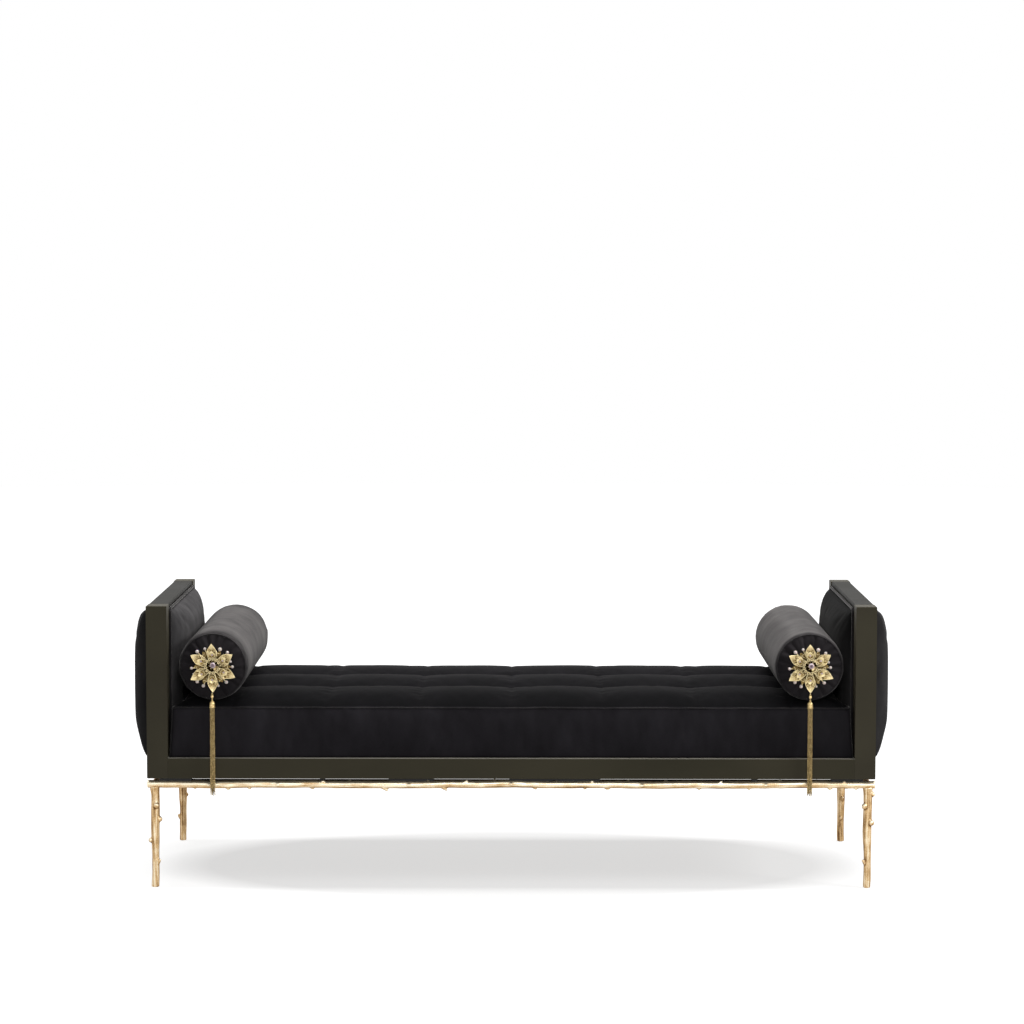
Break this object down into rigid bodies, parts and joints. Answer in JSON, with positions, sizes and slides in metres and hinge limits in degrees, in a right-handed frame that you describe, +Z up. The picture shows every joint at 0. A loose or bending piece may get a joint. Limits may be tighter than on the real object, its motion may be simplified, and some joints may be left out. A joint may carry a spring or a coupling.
{
  "type": "recamier",
  "caption": "Backless upholstered bench with padded ends, tufted seat, loose bolsters with flower brooches and tassels, on a cast branch base.",
  "frame": {"origin": "on the floor under the middle of the whole piece, brooches and tassels included", "axes": "+X along the seat to the viewer's right, +Y from the front with the tassels to the back, +Z up"},
  "size_m": [1.912, 0.681, 0.716],
  "materials": {
    "lacquer": "satin olive-black lacquer",
    "velvet": "black velvet with a pale sheen",
    "piping": "black velvet cord",
    "timber": "raw timber and board",
    "gold_cast": "polished cast, warm gold",
    "old_gold": "antique gold chain and fittings",
    "pale_gold": "pale gold filigree",
    "pearl": "pearl",
    "crystal": "cut, pale pink",
    "black_steel": "black, satin"
  },
  "bodies": {
    "root": {"front_left_post": "lacquer", "front_right_post": "lacquer", "back_left_post": "lacquer", "back_right_post": "lacquer", "left_top_rail": "lacquer", "right_top_rail": "lacquer", "left_end_rail": "lacquer", "right_end_rail": "lacquer", "front_seat_rail": "lacquer", "back_seat_rail": "lacquer", "left_panel_core": "timber", "right_panel_core": "timber", "seat_deck": "timber", "left_cross_stretcher": "timber", "right_cross_stretcher": "timber", "seat_cushion": "velvet", "left_inner_pad": "velvet", "right_inner_pad": "velvet", "left_outer_pad": "velvet", "right_outer_pad": "velvet", "left_inner_piping": "piping", "right_inner_piping": "piping", "left_outer_piping": "piping", "right_outer_piping": "piping", "front_left_leg": "gold_cast", "front_right_leg": "gold_cast", "back_left_leg": "gold_cast", "back_right_leg": "gold_cast", "front_branch_rail": "gold_cast", "back_branch_rail": "gold_cast", "left_branch_rail": "gold_cast", "right_branch_rail": "gold_cast", "front_support_bar": "black_steel", "back_support_bar": "black_steel", "front_bolt_1": "black_steel", "front_bolt_2": "black_steel", "front_bolt_3": "black_steel", "back_bolt_1": "black_steel", "back_bolt_2": "black_steel", "back_bolt_3": "black_steel"},
    "left_bolster": {"left_bolster": "velvet", "left_brooch_back_plate": "pale_gold", "left_brooch_pearls": "pearl", "left_brooch_petals": "pale_gold", "left_brooch_inner_petals": "pale_gold", "left_brooch_stone_setting": "old_gold", "left_brooch_stone": "crystal"},
    "right_bolster": {"right_bolster": "velvet", "right_brooch_back_plate": "pale_gold", "right_brooch_pearls": "pearl", "right_brooch_petals": "pale_gold", "right_brooch_inner_petals": "pale_gold", "right_brooch_stone_setting": "old_gold", "right_brooch_stone": "crystal"},
    "left_link": {"left_tassel_link": "old_gold"},
    "right_link": {"right_tassel_link": "old_gold"},
    "left_tassel": {"left_tassel_cap": "old_gold", "left_tassel_chains": "old_gold"},
    "right_tassel": {"right_tassel_cap": "old_gold", "right_tassel_chains": "old_gold"}
  },
  "joints": [
    {"name": "left_bolster_lift", "type": "slide", "parent": "root", "child": "left_bolster", "axis": [0, 0, 1], "range_m": [0, 0.35]},
    {"name": "right_bolster_lift", "type": "slide", "parent": "root", "child": "right_bolster", "axis": [0, 0, 1], "range_m": [0, 0.35]},
    {"name": "left_link_swing", "type": "hinge", "parent": "left_bolster", "child": "left_link", "pos_m": [-0.7484, -0.33253, 0.4972], "axis": [-1, 0, 0], "range_deg": [0, 75]},
    {"name": "right_link_swing", "type": "hinge", "parent": "right_bolster", "child": "right_link", "pos_m": [0.7484, -0.33253, 0.4972], "axis": [-1, 0, 0], "range_deg": [0, 75]},
    {"name": "left_tassel_swing", "type": "hinge", "parent": "left_link", "child": "left_tassel", "pos_m": [-0.7484, -0.33253, 0.482], "axis": [0, 1, 0], "range_deg": [-75, 75]},
    {"name": "right_tassel_swing", "type": "hinge", "parent": "right_link", "child": "right_tassel", "pos_m": [0.7484, -0.33253, 0.482], "axis": [0, 1, 0], "range_deg": [-75, 75]}
  ]
}
